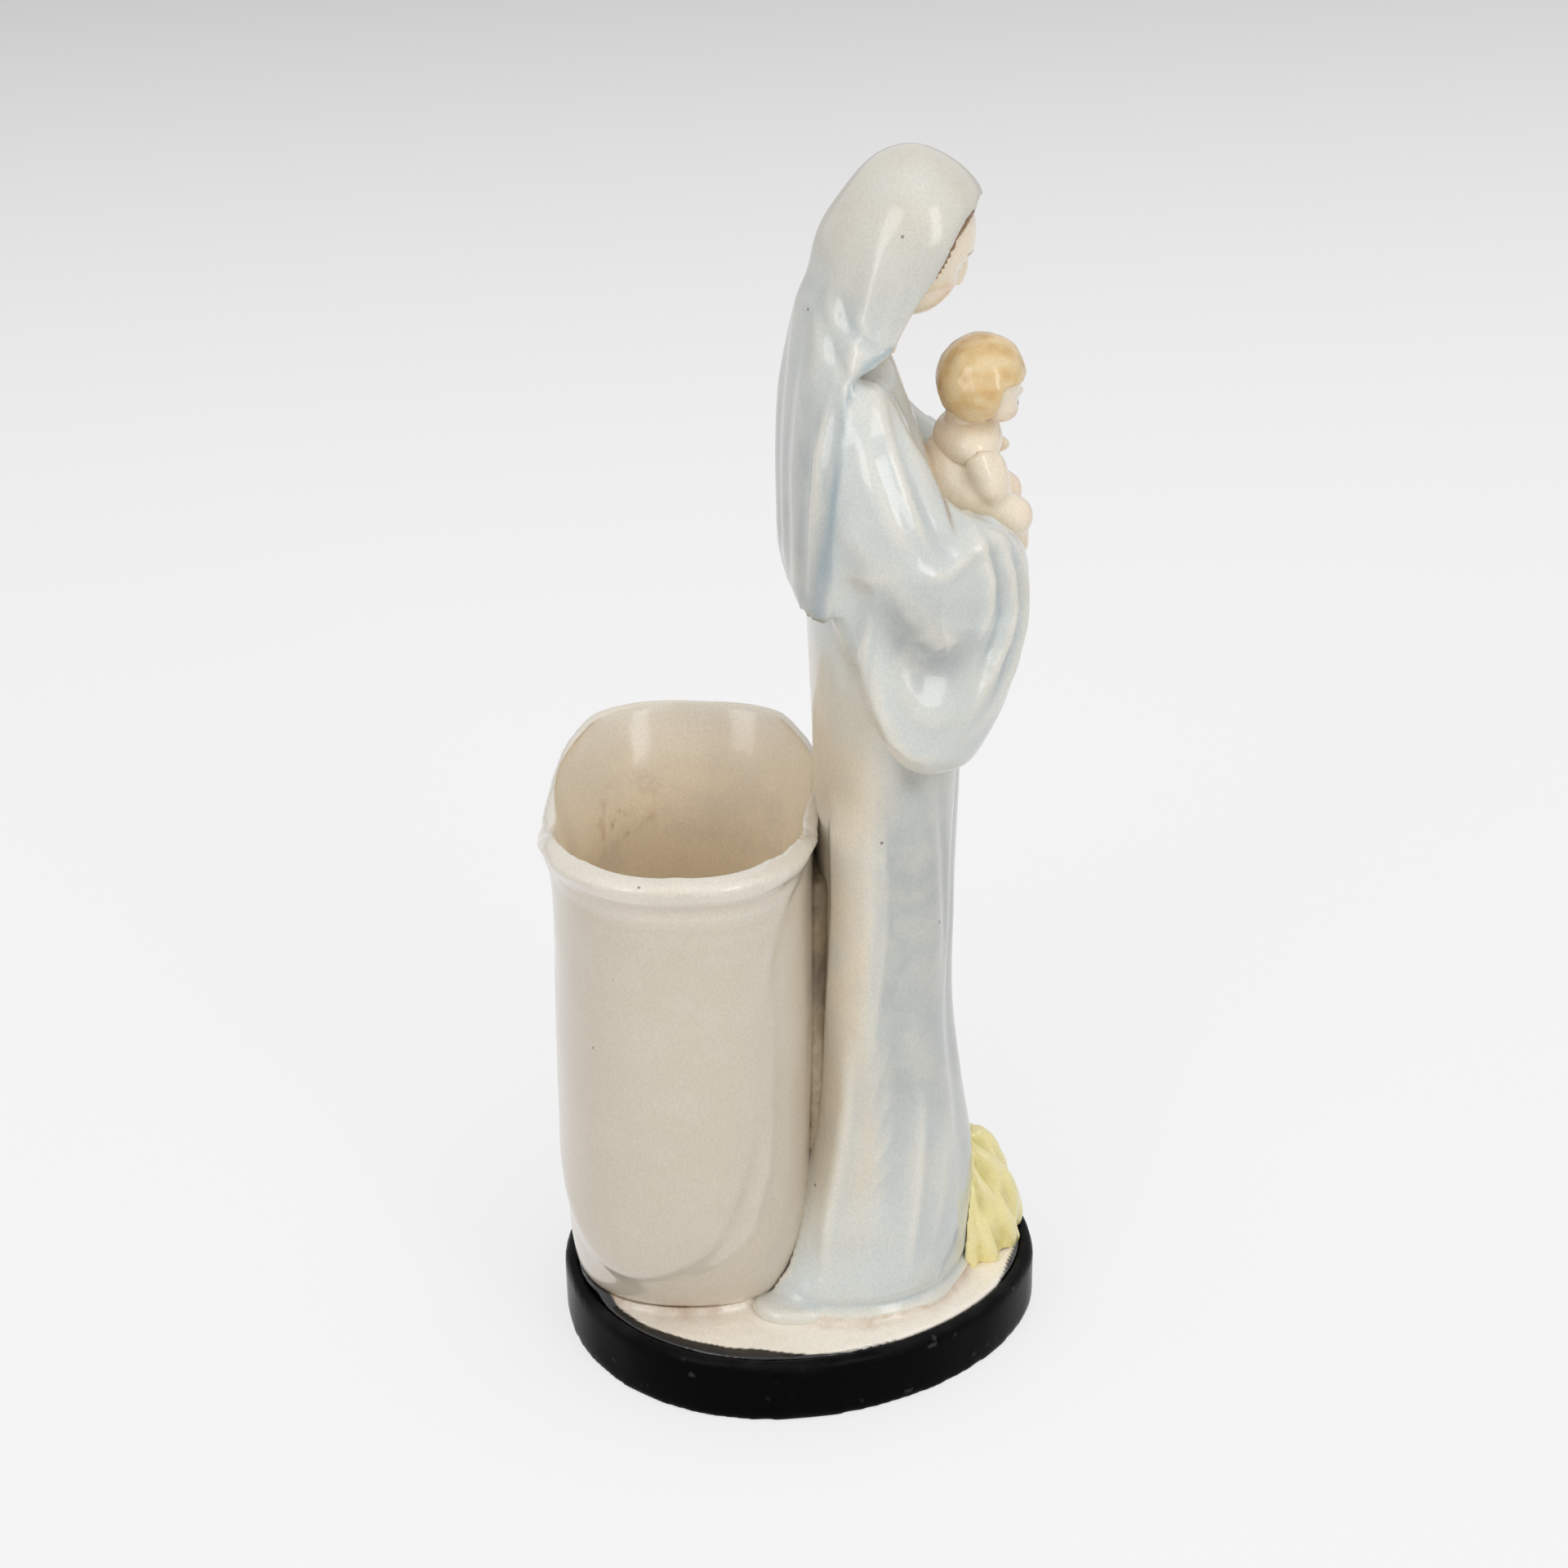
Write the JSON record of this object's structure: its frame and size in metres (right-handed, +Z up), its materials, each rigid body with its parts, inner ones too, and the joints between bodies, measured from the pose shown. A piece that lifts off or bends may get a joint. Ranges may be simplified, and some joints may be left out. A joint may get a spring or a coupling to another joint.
{
  "type": "madonna statue",
  "caption": "Glazed ceramic Madonna and Child with a tulip-shaped vase behind the figure, together on an oval black-rimmed plinth.",
  "frame": {"origin": "centre of the plinth's underside", "axes": "+Z up; the figure faces -Y, its right hand side is -X and the vase stands behind it, towards +Y"},
  "size_m": [0.0985, 0.1179, 0.2988],
  "materials": {
    "black_glaze": "gloss",
    "deck_glaze": "gloss",
    "pale_blue_glaze": "gloss",
    "cream_glaze": "gloss",
    "yellow_glaze": "gloss",
    "skin_glaze": "gloss",
    "golden_hair_glaze": "gloss",
    "brown_hair_glaze": "gloss",
    "bare_slip": "satin"
  },
  "bodies": {
    "root": {"plinth": "black_glaze", "deck": "deck_glaze", "robe": "pale_blue_glaze", "sleeve_left": "pale_blue_glaze", "sleeve_right": "pale_blue_glaze", "madonna_head": "skin_glaze", "madonna_hair": "brown_hair_glaze", "veil": "pale_blue_glaze", "hand_left": "skin_glaze", "hand_right": "skin_glaze", "child_body": "skin_glaze", "child_head": "skin_glaze", "child_hair": "golden_hair_glaze", "child_leg_left": "skin_glaze", "child_leg_right": "skin_glaze", "child_arm_left": "skin_glaze", "child_arm_right": "skin_glaze", "underskirt": "yellow_glaze", "vase": "cream_glaze", "petal_left": "cream_glaze", "petal_right": "cream_glaze", "slip_seam_robe": "bare_slip", "slip_seam_vase": "bare_slip", "slip_seam_back": "bare_slip"}
  },
  "joints": []
}
